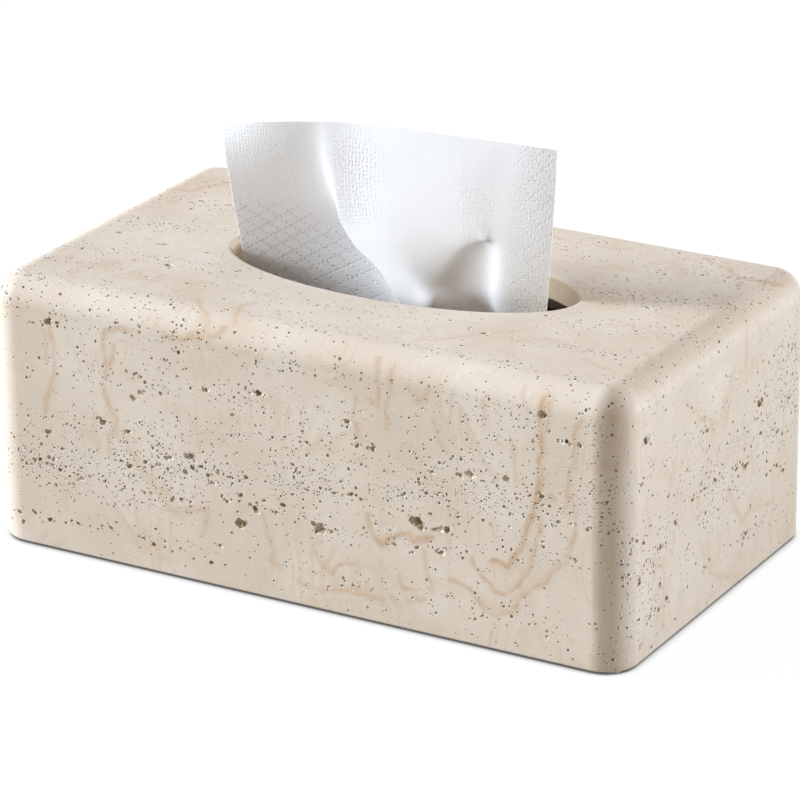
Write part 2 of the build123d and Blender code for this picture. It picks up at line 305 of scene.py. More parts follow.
# Where dots are pressed into the tissue: from and to fold, from and to step up it, how deeply
DIAMOND_PATCHES = (
    (0, 2, 2, 7, 1.6),
    (3, 3, 2, 6, 1.2),
    (12, 12, 2, 12, 0.2),
    (13, 14, 2, 12, 0.5),
)
DOT_PATCHES = (
    (0, 3, 7, 12, 0.3),
    (5, 6, 8, 10, 0.6),
    (9, 10, 8, 9, 0.35),
    (12, 14, 2, 12, 0.15),
    (6, 11, 3, 12, 0.06),
)


def a_length(label, about, size):
    """A length setting, given in millimetres."""
    return FloatProperty(name=label, description=about, default=size * MM, unit="LENGTH")


def an_angle(label, about, degrees):
    """An angle setting, given in degrees."""
    return FloatProperty(name=label, description=about, default=math.radians(degrees), subtype="ANGLE")


def a_strength(label, about, size):
    """A setting for the strength of a light."""
    return FloatProperty(name=label, description=about, default=size, min=0)


def a_count(label, about, size, least=0):
    """A setting in whole numbers."""
    return IntProperty(name=label, description=about, default=size, min=least)


def a_colour(label, about, *shares, most=1.0):
    """A colour setting, given as red, green and blue."""
    return FloatVectorProperty(name=label, description=about, default=shares, subtype="COLOR", max=most)


class CoverSettings(bpy.types.PropertyGroup):
    """Sizes and colours of the stone cover"""

    corner_radius: a_length("Corner radius", "Rounding of the upright corners", 12)
    top_radius: a_length("Top radius", "Rounding of the top edges", 10.5)
    wall: a_length("Wall", "Thickness of the side walls", 9)
    slab: a_length("Top thickness", "Thickness of the top", 10.5)
    cavity_radius: a_length("Cavity radius", "Rounding of the cavity's upright corners", 6)
    ceiling_radius: a_length("Ceiling radius", "Rounding under the top", 5)
    slot_length: a_length("Slot length", "Long axis of the oval slot", 138.4)
    slot_width: a_length("Slot width", "Short axis of the oval slot", 60)
    slot_shift: a_length("Slot shift", "The slot's place to the right of the middle", 2)
    lip_radius: a_length("Lip radius", "Rounding of the slot's upper edge", 2)
    under_chamfer: a_length("Under chamfer", "Chamfer of the slot's lower edge", 1)
    rim_chamfer: a_length("Rim chamfer", "Chamfer of the lower rim", 0.8)
    pinhole_count: a_count("Pinholes", "Small holes tried on the whole stone", 7200)
    hole_count: a_count("Scattered holes", "Larger holes tried on the whole stone", 420)
    seed: a_count("Seed", "Draw of the scattered holes", 11)
    cream: a_colour("Cream", "Body colour of the stone", 0.690, 0.600, 0.500)
    pale: a_colour("Pale", "Lighter clouds in the stone", 0.765, 0.690, 0.600)
    tan: a_colour("Tan", "Wash beside the veins", 0.650, 0.490, 0.330)
    vein: a_colour("Vein", "Thin line of a vein", 0.500, 0.290, 0.130)
    hollow: a_colour("Hollow", "Stone at the mouth of the holes", 0.600, 0.500, 0.360)
    # The deep colour is painted shade, darker towards the depth of the holes
    deep: a_colour("Deep", "Stone in the depth of the holes", 0.330, 0.260, 0.160)
    # The pore colour is painted shade, near-black inside pores too small to cut
    pore_shade: a_colour("Pore", "Dark of the tiny pores", 0.110, 0.082, 0.045)
    # The rim colour is a painted highlight: on the lower right of each pore, and round the mouth of the holes
    painted_highlight: a_colour("Rim", "Pale chipped lip of the pores and holes", 0.930, 0.890, 0.830)
    cut: a_colour("Cut", "Smooth stone inside the slot", 0.800, 0.650, 0.440)


class TissueSettings(bpy.types.PropertyGroup):
    """Sizes and colours of the tissues"""

    thickness: a_length("Thickness", "Thickness of the standing tissue", 0.3)
    smoothing: a_count("Smoothing", "Subdivision of the folds", 3, 1)
    white: a_colour("White", "Colour of the tissue", 0.83, 0.86, 0.92)
    emboss: a_length("Emboss", "Depth of the pressed dots", 0.30)
    sheet_count: a_count("Sheets", "Folded sheets under the first", 55, 1)
    leaf: a_length("Leaf", "Thickness of a folded leaf", 0.15)
    pitch: a_length("Pitch", "Rise from leaf to leaf", 0.5)
    seed: a_count("Seed", "Draw of the unevenness in the stack", 5)


class PackSettings(bpy.types.PropertyGroup):
    """Colours of the carton, its film and the pads"""

    # The outside colour is near-black, a painted shade for the dark inside the cover
    outside_shade_colour: a_colour("Printed face", "Outside of the carton", 0.022, 0.021, 0.020)
    board_colour: a_colour("Board", "Bare board inside the carton", 0.42, 0.36, 0.29)
    film_colour: a_colour("Film", "Tint of the slit film", 0.93, 0.95, 0.96)
    pad_colour: a_colour("Pad", "Rubber of the pads", 0.62, 0.61, 0.58)


class StageSettings(bpy.types.PropertyGroup):
    """Camera and light"""

    azimuth: an_angle("Azimuth", "Camera's turn round the cover", 30.151)
    elevation: an_angle("Elevation", "Camera's height angle", 21.702)
    roll: an_angle("Roll", "Camera's turn on its own axis", -0.602)
    distance: a_length("Distance", "From the camera to the cover's middle", 1593.3)
    lens: FloatProperty(name="Lens", description="Focal length", default=198.69, unit="CAMERA")
    left_light: a_strength("Left light", "Strength from the left", 4.4)
    right_light: a_strength("Right light", "Strength from the right", 3.05)
    top_light: a_strength("Top light", "Strength from above", 1.1)
    room_light: a_strength("Room light", "Even light all round", 0.42)
    room_tint: a_colour("Room tint", "Colour of the even light", 1.0, 0.78, 0.54)
    left_tint: a_colour("Left tint", "Colour of the left lamp", 0.92, 1.0, 1.07, most=2.0)
    right_tint: a_colour("Right tint", "Colour of the right lamp", 0.90, 1.0, 1.11, most=2.0)
    top_tint: a_colour("Top tint", "Colour of the top lamp", 0.80, 1.02, 1.36, most=2.0)


def clear_selection():
    """Object mode, with nothing selected."""
    if bpy.context.object and bpy.context.object.mode != "OBJECT":
        bpy.ops.object.mode_set(mode="OBJECT")
    bpy.ops.object.select_all(action="DESELECT")


def pick_up(piece):
    """Make one piece the only selected one."""
    clear_selection()
    piece.select_set(True)
    bpy.context.view_layer.objects.active = piece


def name_new(name):
    """Name the piece that was just added, with its place and size in its mesh."""
    piece = bpy.context.object
    piece.name = name
    piece.data.name = name
    bpy.ops.object.transform_apply(location=True, rotation=True, scale=True)
    return piece


def select_edges(piece, test):
    """Edit mode on a piece, with the edges that pass the test selected."""
    pick_up(piece)
    bpy.ops.object.mode_set(mode="EDIT")
    bpy.ops.mesh.select_mode(type="EDGE")
    bpy.ops.mesh.select_all(action="DESELECT")
    found = [edge for edge in bmesh.from_edit_mesh(piece.data).edges if test(edge)]
    for edge in found:
        edge.select_set(True)
    bmesh.update_edit_mesh(piece.data)
    if not found:
        raise RuntimeError(f"nothing to select on {piece.name}")


def bevel_edges(piece, test, offset, segments):
    """Round the edges that pass the test."""
    select_edges(piece, test)
    bpy.ops.mesh.bevel(offset=offset, segments=segments, profile=0.5, affect="EDGES")
    bpy.ops.object.mode_set(mode="OBJECT")


def apply_modifier(piece, kind, **values):
    """Add a modifier, set it and apply it."""
    pick_up(piece)
    made = piece.modifiers.new(kind.lower(), kind)
    for name, value in values.items():
        setattr(made, name, value)
    bpy.ops.object.modifier_apply(modifier=made.name)


def near(value, target, slack=1e-5):
    """Whether two lengths agree."""
    return abs(value - target) < slack


def upright(edge):
    """Whether an edge runs straight up."""
    low, high = (vertex.co for vertex in edge.verts)
    return near(low.x, high.x) and near(low.y, high.y)


def level_at(height):
    """A test for edges that lie at a height."""
    return lambda edge: all(near(vertex.co.z, height) for vertex in edge.verts)


def oval_share(settings, place, outside=0.0):
    """Where a place is on the oval slot, widened by a length: 0 in its middle, 1 on its edge."""
    half_length = settings.slot_length / 2 + outside
    half_width = settings.slot_width / 2 + outside
    return math.hypot((place.x - settings.slot_shift) / half_length, place.y / half_width)


def on_oval(settings, height):
    """A test for edges that lie on the slot's oval at a height."""
    def test(edge):
        shares = [oval_share(settings, vertex.co) for vertex in edge.verts]
        return level_at(height)(edge) and all(near(share, 1.0, 0.01) for share in shares)
    return test


def rounded_block(name, low, high, corner, crown, segments):
    """A block between two corners, its upright and top edges rounded."""
    clear_selection()
    bpy.ops.mesh.primitive_cube_add(size=1.0, location=(low + high) / 2, scale=high - low)
    block = name_new(name)
    bevel_edges(block, upright, corner, segments)
    bevel_edges(block, level_at(high.z), crown, segments)
    return block


def set_slots(piece, materials):
    """Give a piece these materials in order."""
    piece.data.materials.clear()
    for material in materials:
        piece.data.materials.append(material)


def cut_away(piece, tool, slot, solver="EXACT"):
    """Cut a tool's shape out of a piece; the cut faces take the numbered slot."""
    set_slots(tool, piece.data.materials)
    for face in tool.data.polygons:
        face.material_index = slot
    apply_modifier(piece, "BOOLEAN", operation="DIFFERENCE", solver=solver, object=tool)
    bpy.data.objects.remove(tool)


def mark_sides(piece):
    """Give the outer faces the slot of the side that they look to."""
    for face in piece.data.polygons:
        along, across, up = (abs(part) for part in face.normal)
        if up >= max(along, across):
            face.material_index = TOP_SIDE
        else:
            face.material_index = LONG_SIDE if across >= along else END_SIDE


def slot_cutter(settings):
    """Oval bar that cuts the slot."""
    clear_selection()
    bpy.ops.mesh.primitive_cylinder_add(
        vertices=128, radius=1.0, depth=2 * settings.slab,
        location=(settings.slot_shift, 0, COVER_HIGH.z - settings.slab / 2),
        scale=(settings.slot_length / 2, settings.slot_width / 2, 1.0))
    return name_new("slot_cutter")


def cover_body(settings, materials):
    """The cover without its holes."""
    cover = rounded_block(
        "stone_cover", COVER_LOW, COVER_HIGH, settings.corner_radius, settings.top_radius, 10)
    set_slots(cover, materials)
    mark_sides(cover)
    inset = Vector((settings.wall, settings.wall, 0))
    low = COVER_LOW + inset - Vector((0, 0, settings.wall))
    high = COVER_HIGH - inset - Vector((0, 0, settings.slab))
    cavity = rounded_block("cavity", low, high, settings.cavity_radius, settings.ceiling_radius, 5)
    cut_away(cover, cavity, INSIDE)
    cut_away(cover, slot_cutter(settings), INSIDE)
    bevel_edges(cover, on_oval(settings, COVER_HIGH.z), settings.lip_radius, 5)
    bevel_edges(cover, on_oval(settings, high.z), settings.under_chamfer, 1)
    bevel_edges(cover, level_at(COVER_LOW.z), settings.rim_chamfer, 2)
    return cover


def hole_shape(detail, roughness, draw):
    """One hole's hollow, a sphere of radius 1 with an uneven wall."""
    clear_selection()
    bpy.ops.mesh.primitive_ico_sphere_add(subdivisions=detail, radius=1.0)
    shape = name_new("hole_shape")
    for vertex in shape.data.vertices:
        vertex.co *= draw.uniform(1 - roughness, 1 + roughness)
    points = [vertex.co.copy() for vertex in shape.data.vertices]
    faces = [tuple(face.vertices) for face in shape.data.polygons]
    bpy.data.objects.remove(shape)
    return points, faces


class HoleLayer:
    """Hollows that are cut together, kept apart from each other."""

    CELL = 6 * MM
    BETWEEN = 0.12 * MM

    def __init__(self):
        self.cells = {}
        self.points = []
        self.faces = []

    def free(self, place, reach):
        """Whether a hollow of this reach keeps clear of the others; if so, it takes the place."""
        cell = tuple(round(part / self.CELL) for part in place)
        for step in itertools.product((-1, 0, 1), repeat=3):
            key = tuple(part + move for part, move in zip(cell, step))
            for other, size in self.cells.get(key, ()):
                if (other - place).length < reach + size + self.BETWEEN:
                    return False
        self.cells.setdefault(cell, []).append((place, reach))
        return True

    def add(self, shape, move):
        """Add a hollow's points and faces."""
        points, faces = shape
        first = len(self.points)
        self.points.extend(move(point) for point in points)
        self.faces.extend(tuple(first + corner for corner in face) for face in faces)

    def tool(self):
        """All the hollows as one cutter."""
        mesh = bpy.data.meshes.new("hole_cutter")
        mesh.from_pydata(self.points, [], self.faces)
        tool = bpy.data.objects.new("hole_cutter", mesh)
        bpy.context.scene.collection.objects.link(tool)
        return tool


def along_bed(normal):
    """The way along the bed where the skin looks this way."""
    bed = Vector((0, 0, 1)) if abs(normal.z) < 0.8 else Vector((0, 1, 0))
    return bed.cross(normal).normalized()


class HolePattern:
    """The holes of the stone, shared out over layers that are cut one after the other."""

    SLOT_EDGE = 2.6 * MM
    RIM_EDGE = 1.4 * MM
    LAYERS = 5

    def __init__(self, cover, settings, draw):
        self.cover = cover
        self.settings = settings
        self.draw = draw
        self.layers = [HoleLayer() for _ in range(self.LAYERS)]

    def allowed(self, place, reach):
        """Whether a hole keeps clear of the slot and the rim."""
        if place.z > COVER_HIGH.z - 2 * self.SLOT_EDGE:
            return oval_share(self.settings, place, self.SLOT_EDGE + reach) > 1
        return place.z > COVER_LOW.z + reach + self.RIM_EDGE

    def hollow(self, layer, spot, radii, shape, tilt, sink):
        """Put a hollow where the surface is nearest to a spot, if it has room there."""
        found, place, normal, _ = self.cover.closest_point_on_mesh(spot)
        if not found:
            raise RuntimeError("no surface for a hole")
        reach = max(radii[:2])
        if not self.allowed(place, reach) or not self.layers[layer].free(place, reach):
            return
        along = along_bed(normal)
        turn = Matrix((along, normal.cross(along), normal)).transposed() @ Matrix.Rotation(tilt, 3, "Z")
        sunk = place - normal * radii[2] * sink
        spin = Matrix.Rotation(self.draw.uniform(0, math.tau), 3, "Z")
        size = Matrix.Diagonal(radii)
        self.layers[layer].add(shape, lambda point: sunk + turn @ size @ spin @ point)

    def hole(self, spot, length, height, shapes, flatness=0.0):
        """A ragged hole: a deep heart and open bowls beside it along the bed, each on another layer."""
        draw = self.draw
        _, place, normal, _ = self.cover.closest_point_on_mesh(spot)
        along = Matrix.Rotation(draw.gauss(0, 0.2), 3, normal) @ along_bed(normal)
        across = normal.cross(along)
        count = 2 + round(length / height + draw.random())
        first = draw.randrange(len(self.layers))
        for turn in range(count):
            share = (turn + 0.5) / count - 0.5
            size = height * draw.uniform(0.32, 0.50) * (1.15 - 1.1 * abs(share))
            lobe = place + along * share * length + across * height * draw.uniform(-0.22, 0.22)
            heart = turn == count // 2
            width = size * (0.95 if heart else 1.15 + 0.3 * flatness)
            radii = [
                part * draw.uniform(0.9, most) for part, most in ((width, 1.2), (width, 1.2), (size, 1.3))]
            sink = draw.uniform(0.0, 0.35) if heart else draw.uniform(-0.55, 0.05) - 0.35 * flatness
            layer = (first + turn) % len(self.layers)
            self.hollow(layer, lobe, radii, draw.choice(shapes), draw.gauss(0, HOLE_TILT), sink)

    def row(self, start, end, step, height, shapes):
        """A row of crumbled pits, of uneven size and spacing."""
        draw = self.draw
        count = max(round((end - start).length / step), 1)
        for turn in range(count):
            spot = start.lerp(end, (turn + draw.uniform(0.1, 0.9)) / count)
            spot += Vector((0, draw.uniform(-1, 1), draw.uniform(-1, 1))) * height
            size = height * draw.triangular(0.5, 1.5, 0.8)
            self.hole(spot, size * draw.uniform(0.4, 1.2), size, shapes)


# Each side: its beds, holes and rows, the two axes of a place on it, and that place in space
SIDES = (
    (LONG_BEDS, LONG_HOLES, LONG_ROWS, (0, 2), lambda a, b: Vector((a, COVER_LOW.y, b))),
    (LONG_BEDS, LONG_HOLES, LONG_ROWS, (0, 2), lambda a, b: Vector((-a, COVER_HIGH.y, b))),
    (END_BEDS, END_HOLES, END_ROWS, (1, 2), lambda a, b: Vector((COVER_HIGH.x, a, b))),
    (END_BEDS, END_HOLES, END_ROWS, (1, 2), lambda a, b: Vector((COVER_LOW.x, -a, b))),
    (TOP_BEDS, TOP_HOLES, TOP_ROWS, (0, 1), lambda a, b: Vector((a, b, COVER_HIGH.z))),
)


def bed_weight(beds, along, up):
    """How open the stone is at a place of a side."""
    return 0.16 + sum(
        weight * math.exp(-(((up - height - rise * along) / depth) ** 2))
        for height, rise, depth, weight in beds)


def scatter_spots(draw, count):
    """Random places over the sides, thick in the open beds and thin elsewhere."""
    spans = [[(COVER_LOW[axis], COVER_HIGH[axis]) for axis in side[3]] for side in SIDES]
    areas = [(a[1] - a[0]) * (b[1] - b[0]) for a, b in spans]
    for _ in range(count):
        side, span = draw.choices(list(zip(SIDES, spans)), areas)[0]
        beds, _, _, _, place = side
        a, b = [draw.uniform(low, high) for low, high in span]
        spot = place(a, b)
        patch = 0.75 + 1.1 * noise.noise(spot / PATCH_SIZE)
        if draw.random() < patch * bed_weight(beds, a * PER_MM, b * PER_MM):
            yield spot


def pit_stone(cover, settings):
    """Open the stone's holes: the large ones and the rows in their places, the rest scattered."""
    draw = random.Random(settings.seed)
    pattern = HolePattern(cover, settings, draw)
    holes, ragged, pinholes = [
        [hole_shape(detail, roughness, draw) for _ in range(count)]
        for count, detail, roughness in HOLE_SHAPES]
    for _, placed, rows, _, place in SIDES:
        for a, b, length, height in placed:
            pattern.hole(place(a * MM, b * MM), length * MM, height * MM, holes, BOWL_FLATNESS)
        for a, b, to_a, to_b, step, height in rows:
            pattern.row(place(a * MM, b * MM), place(to_a * MM, to_b * MM), step * MM, height * MM, ragged)
    for spot in scatter_spots(draw, settings.hole_count):
        height = draw.triangular(*HOLE_HEIGHTS) * MM
        pattern.hole(spot, height * draw.uniform(0.5, 1.4), height, ragged)
    for spot in scatter_spots(draw, settings.pinhole_count):
        size = draw.triangular(*PINHOLE_SIZES) * MM
        radii = [size * draw.uniform(low, high) for low, high in PINHOLE_RADII]
        shape, tilt, sink = draw.choice(pinholes), draw.gauss(0, HOLE_TILT), draw.uniform(-0.4, 0.3)
        pattern.hollow(PINHOLE_LAYER, spot, radii, shape, tilt, sink)
    for layer in pattern.layers:
        cut_away(cover, layer.tool(), PIT, "MANIFOLD")


def smooth_faces(piece, degrees):
    """Shade smooth, with edges sharper than an angle kept crisp."""
    pick_up(piece)
    bpy.ops.object.shade_smooth_by_angle(angle=math.radians(degrees))


def skin_normal(settings, place):
    """The way that the polished outer skin looks at a place on it."""
    lip = settings.lip_radius
    if place.z > COVER_HIGH.z - 2 * lip and oval_share(settings, place, lip) < 1.001:
        rise = min(max(1 - (COVER_HIGH.z - place.z) / lip, 0.0), 1.0)
        along = (place.x - settings.slot_shift) / settings.slot_length ** 2
        out = Vector((along, place.y / settings.slot_width ** 2, 0))
        return out.normalized() * -math.sqrt(1 - rise * rise) + Vector((0, 0, rise))
    flat = Vector((COVER_HIGH.x, COVER_HIGH.y, 0)) - Vector((1, 1, 0)) * settings.corner_radius
    past = [math.copysign(max(abs(part) - edge, 0), part) for part, edge in zip(place.xy, flat.xy)]
    out = Vector((*past, 0))
    inside = settings.corner_radius - out.length
    level = max(settings.top_radius - inside, 0)
    rise = max(place.z - (COVER_HIGH.z - settings.top_radius), 0)
    return (out.normalized() * level + Vector((0, 0, rise))).normalized()


def polish_skin(cover, settings):
    """Shade the outer skin as the true rounded shape, so that no hole disturbs it."""
    mesh = cover.data
    normals = [Vector((0, 0, 0))] * len(mesh.loops)
    for face in mesh.polygons:
        if face.material_index == PIT:
            continue
        for loop in face.loop_indices:
            normal = skin_normal(settings, mesh.vertices[mesh.loops[loop].vertex_index].co)
            if face.normal.dot(normal) > SKIN_MATCH:
                normals[loop] = normal
    mesh.normals_split_custom_set(normals)


class Wire:
    """An output of a shader node that sums can be made with; [name] is another output of its node."""

    def __init__(self, socket):
        self.socket = socket
        self.tree = socket.id_data

    def __getitem__(self, name):
        return Wire(self.socket.node.outputs[name])

    def __add__(self, other):
        return math_node("ADD", self, other)

    def __radd__(self, other):
        return math_node("ADD", other, self)

    def __sub__(self, other):
        return math_node("SUBTRACT", self, other)

    def __rsub__(self, other):
        return math_node("SUBTRACT", other, self)

    def __mul__(self, other):
        return math_node("MULTIPLY", self, other)

    def __pow__(self, other):
        return math_node("POWER", self, other)


def feed(tree, sockets, feeds):
    """Link wires to a node's sockets, and set the other values there."""
    for name, value in feeds.items():
        if isinstance(value, Wire):
            tree.links.new(value.socket, sockets[name])
        elif sockets[name].type == "RGBA":
            sockets[name].default_value = (*value, 1.0)
        else:
            sockets[name].default_value = value


def add_node(kind, feeds, output=0, tree=None, **values):
    """Add a shader node to a tree, or to that of its wires, with its settings; one of its outputs."""
    if tree is None:
        tree = next(value.tree for value in feeds.values() if isinstance(value, Wire))
    made = tree.nodes.new(kind)
    for name, value in values.items():
        setattr(made, name, value)
    feed(tree, made.inputs, feeds)
    return Wire(made.outputs[output])


def math_node(operation, *feeds, clamp=False):
    """Math node's result."""
    return add_node("ShaderNodeMath", dict(enumerate(feeds)), operation=operation, use_clamp=clamp)


def vector_node(operation, *feeds):
    """Vector math node's vector."""
    return add_node("ShaderNodeVectorMath", dict(enumerate(feeds)), "Vector", operation=operation)


def measure_node(operation, *feeds):
    """Vector math node's number, for a length or a dot product."""
    return add_node("ShaderNodeVectorMath", dict(enumerate(feeds)), "Value", operation=operation)


def scale_vector(vector, amount):
    """A vector times a number."""
    return add_node("ShaderNodeVectorMath", {0: vector, "Scale": amount}, "Vector", operation="SCALE")


def split(vector):
    """A vector's parts, by number."""
    return add_node("ShaderNodeSeparateXYZ", {0: vector})


def join(first, second):
    """A flat vector of two parts."""
    return add_node("ShaderNodeCombineXYZ", {0: first, 1: second, 2: 0.0})


def ramp_node(value, low, high, to_low=0.0, to_high=1.0):
    """Smooth step of a value from one range to another."""
    feeds = {"Value": value, 1: low, 2: high, 3: to_low, 4: to_high}
    return add_node("ShaderNodeMapRange", feeds, interpolation_type="SMOOTHSTEP", clamp=False)


def noise_node(vector, scale, detail=2.0, roughness=0.5, distortion=0.0, output="Fac"):
    """Noise value, with the scale per millimetre."""
    feeds = {
        "Vector": vector, "Scale": scale, "Detail": detail, "Roughness": roughness, "Distortion": distortion}
    return add_node("ShaderNodeTexNoise", feeds, output)


def mix_colours(share, first, second, blend="MIX"):
    """Mix of two colours."""
    return add_node("ShaderNodeMix", {0: share, 6: first, 7: second}, 2, data_type="RGBA", blend_type=blend)


def new_material(name, kind="ShaderNodeTexCoord", output="Object"):
    """A material with a Principled shader, and the coordinates of its places in millimetres."""
    material = bpy.data.materials.new(name)
    material.use_nodes = True
    coordinates = add_node(kind, {}, output, material.node_tree)
    return material, scale_vector(coordinates, PER_MM)


def finish_shader(material, look, height, depth, strength=1.0):
    """Feed a material's Principled shader, with the height as a relief of this depth."""
    bump = add_node("ShaderNodeBump", {"Strength": strength, "Distance": depth, "Height": height})
    feed(bump.tree, bump.tree.nodes["Principled BSDF"].inputs, {**look, "Normal": bump})
    return material


def new_group(name, **inputs):
    """A shader node group with inputs of these kinds: the wires of the inputs."""
    group = bpy.data.node_groups.new(name, "ShaderNodeTree")
    for label, kind in inputs.items():
        group.interface.new_socket(label, in_out="INPUT", socket_type="NodeSocket" + kind)
    return Wire(group.nodes.new("NodeGroupInput").outputs[0])


def end_group(**results):
    """Lead wires out of the group that they are in."""
    group = next(iter(results.values())).tree
    for label, wire in results.items():
        kind = "Color" if wire.socket.type == "RGBA" else "Float"
        group.interface.new_socket(label, in_out="OUTPUT", socket_type="NodeSocket" + kind)
    feed(group, group.nodes.new("NodeGroupOutput").inputs, results)
    return group


def use_group(group, **feeds):
    """Place a node group in the tree of its wires."""
    return add_node("ShaderNodeGroup", feeds, node_tree=group)


def vein_group():
    """Group: one straight run of a vein, a thin line with a wash on the left of it."""
    given = new_group(
        "vein_run", Place="Vector", Start="Vector", Ahead="Vector", Length="Float", Width="Float",
        Fade="Float", Strength="Float")
    ahead, strength = given["Ahead"], given["Strength"]
    offset = vector_node("SUBTRACT", given["Place"], given["Start"])
    passed = math_node("MAXIMUM", measure_node("DOT_PRODUCT", offset, ahead), 0.0)
    passed = math_node("MINIMUM", passed, given["Length"])
    gap = vector_node("SUBTRACT", offset, scale_vector(ahead, passed))
    distance = measure_node("LENGTH", gap)
    side = vector_node("CROSS_PRODUCT", (0.0, 0.0, 1.0), ahead)
    beside = ramp_node(measure_node("DOT_PRODUCT", gap, side), -0.6, 0.5)
    line = ramp_node(distance, 0.0, given["Width"] * 2.2, 1.0, 0.0)
    wash = ramp_node(distance, 0.0, given["Fade"], 1.0, 0.0) * beside
    return end_group(Line=line * strength, Wash=wash * strength)


def contour_group():
    """Group: faint nested lines all through the stone, each fading to one side, as a mask."""
    given = new_group("nested_lines", Place="Vector")
    drawn_out = vector_node("MULTIPLY", given["Place"], (1.0, 1.0, 0.40))
    hills = noise_node(drawn_out, 0.028, 2.0, 0.35, 0.8)
    level = math_node("FRACT", hills * CONTOUR_LEVELS)
    lines = ramp_node(level, 0.0, 0.10) * (1.0 - level) ** 2.0
    broken = ramp_node(noise_node(given["Place"], 0.05), 0.44, 0.66)
    return end_group(Lines=lines * broken)


def stone_group():
    """Group: the stone's clouds, streaks and grain, as a colour and a height."""
    given = new_group("stone_body", Place="Vector", Base="Color", Cloud="Color", Stain="Color")
    place, stain = given["Place"], given["Stain"]
    clouds = ramp_node(noise_node(place, 0.022, 4.0, 0.6), 0.38, 0.70)
    colour = mix_colours(clouds, given["Base"], given["Cloud"])
    bedded = vector_node("MULTIPLY", place, (0.22, 0.22, 1.0))
    beds = ramp_node(noise_node(bedded, 0.11, 4.0, 0.62), 0.50, 0.78, 0.0, 0.30)
    colour = mix_colours(beds, colour, stain)
    brushed = vector_node("MULTIPLY", place, (1.0, 1.0, 0.04))
    streaks = ramp_node(noise_node(brushed, 0.55), 0.52, 0.80, 0.0, 0.22)
    colour = mix_colours(streaks, colour, stain)
    grain = noise_node(place, 1.7, 3.0, 0.7)
    grain_tone = ramp_node(grain, 0.30, 0.70, 0.965, 1.025)
    return end_group(Color=mix_colours(1.0, colour, grain_tone, "MULTIPLY"), Grain=grain)


def pore_group():
    """Group: tiny pores, thick in open stone: masks of their painted shade and painted highlight rims."""
    given = new_group("stone_pores", Place="Vector", Open="Float", Scale="Float", Size="Float")
    place, scale = given["Place"], given["Scale"]
    cells = add_node("ShaderNodeTexVoronoi", {"Vector": place, "Scale": scale}, voronoi_dimensions="2D")
    chance = add_node("ShaderNodeSeparateColor", {0: cells["Color"]})
    kept = math_node("LESS_THAN", chance[2], given["Open"])
    reach = given["Size"] * math_node("MULTIPLY_ADD", chance[0] ** 2.0, 0.9, 0.5)
    inner = reach * 0.5
    # The pore mask: painted shade in the colour, a dent in the relief
    pores = ramp_node(cells["Distance"], inner, reach, 1.0, 0.0)
    offset = vector_node("SUBTRACT", place, cells["Position"])
    # Painted highlight: a pale lip offset to the lower right of each pore
    highlighted = measure_node("LENGTH", vector_node("SUBTRACT", offset, HIGHLIGHT_OFFSET)) * scale
    highlight_rims = ramp_node(highlighted, inner, reach * 1.8, 1.0, 0.0) - pores
    return end_group(Pores=pores * kept, Rims=highlight_rims * kept)


def rounded_reach(first, second):
    """How far a place is from a rounded corner's axis; below zero where it lies behind both."""
    ahead = join(math_node("MAXIMUM", first, 0.0), math_node("MAXIMUM", second, 0.0))
    behind = math_node("MINIMUM", math_node("MAXIMUM", first, second), 0.0)
    return measure_node("LENGTH", ahead) + behind


def depth_group(settings):
    """Group: how deep a place lies under the outer skin, in millimetres."""
    given = new_group("skin_depth", Place="Vector")
    corner = settings.corner_radius * PER_MM
    crown = settings.top_radius * PER_MM
    flat = (COVER_HIGH.x * PER_MM - corner, COVER_HIGH.y * PER_MM - corner, 0.0)
    plan = split(vector_node("SUBTRACT", vector_node("ABSOLUTE", given["Place"]), flat))
    wall = corner - rounded_reach(plan[0], plan[1])
    over = split(given["Place"])[2] - (COVER_HIGH.z * PER_MM - crown)
    return end_group(Depth=crown - rounded_reach(crown - wall, over))


def open_beds(flat, place, beds):
    """How open the stone is: the beds of a side, broken up into patches."""
    parts = split(flat)
    total = 0.10
    for height, rise, depth, weight in beds:
        level = math_node("MULTIPLY_ADD", parts[0], -rise, parts[1])
        gap = math_node("ABSOLUTE", level - height)
        total = total + ramp_node(gap, 0.0, 2.0 * depth, weight, 0.0)
    return total * ramp_node(noise_node(place, 0.045), 0.36, 0.62, 0.25, 1.0)


def bend(place, scale, size):
    """How far strokes wander at a place, by up to half this size either way."""
    wander = noise_node(place, scale, output="Color")
    return vector_node("MULTIPLY_ADD", wander, (size, size, size), (-size / 2, -size / 2, -size / 2))


def draw_veins(group, place, veins):
    """All veins of a side, as the strongest line and the strongest wash."""
    line, wash = 0.0, 0.0
    for width, fade, strength, *places in veins:
        for start, end in zip(places, places[1:]):
            run = Vector((*end, 0)) - Vector((*start, 0))
            stroke = use_group(
                group, Place=place, Start=(*start, 0), Ahead=run.normalized(), Length=run.length,
                Width=width, Fade=fade, Strength=strength)
            line = math_node("MAXIMUM", line, stroke["Line"])
            wash = math_node("MAXIMUM", wash, stroke["Wash"])
    return line, wash


def draw_pores(group, flat, opening):
    """Pores of three sizes, as the strongest painted shade and the strongest painted highlight."""
    pores, highlight_rims = 0.0, 0.0
    for scale, size, share in PORE_SIZES:
        some = use_group(group, Place=flat, Open=opening * share, Scale=scale, Size=size * scale)
        pores = math_node("MAXIMUM", pores, some["Pores"])
        highlight_rims = math_node("MAXIMUM", highlight_rims, some["Rims"])
    return pores, highlight_rims


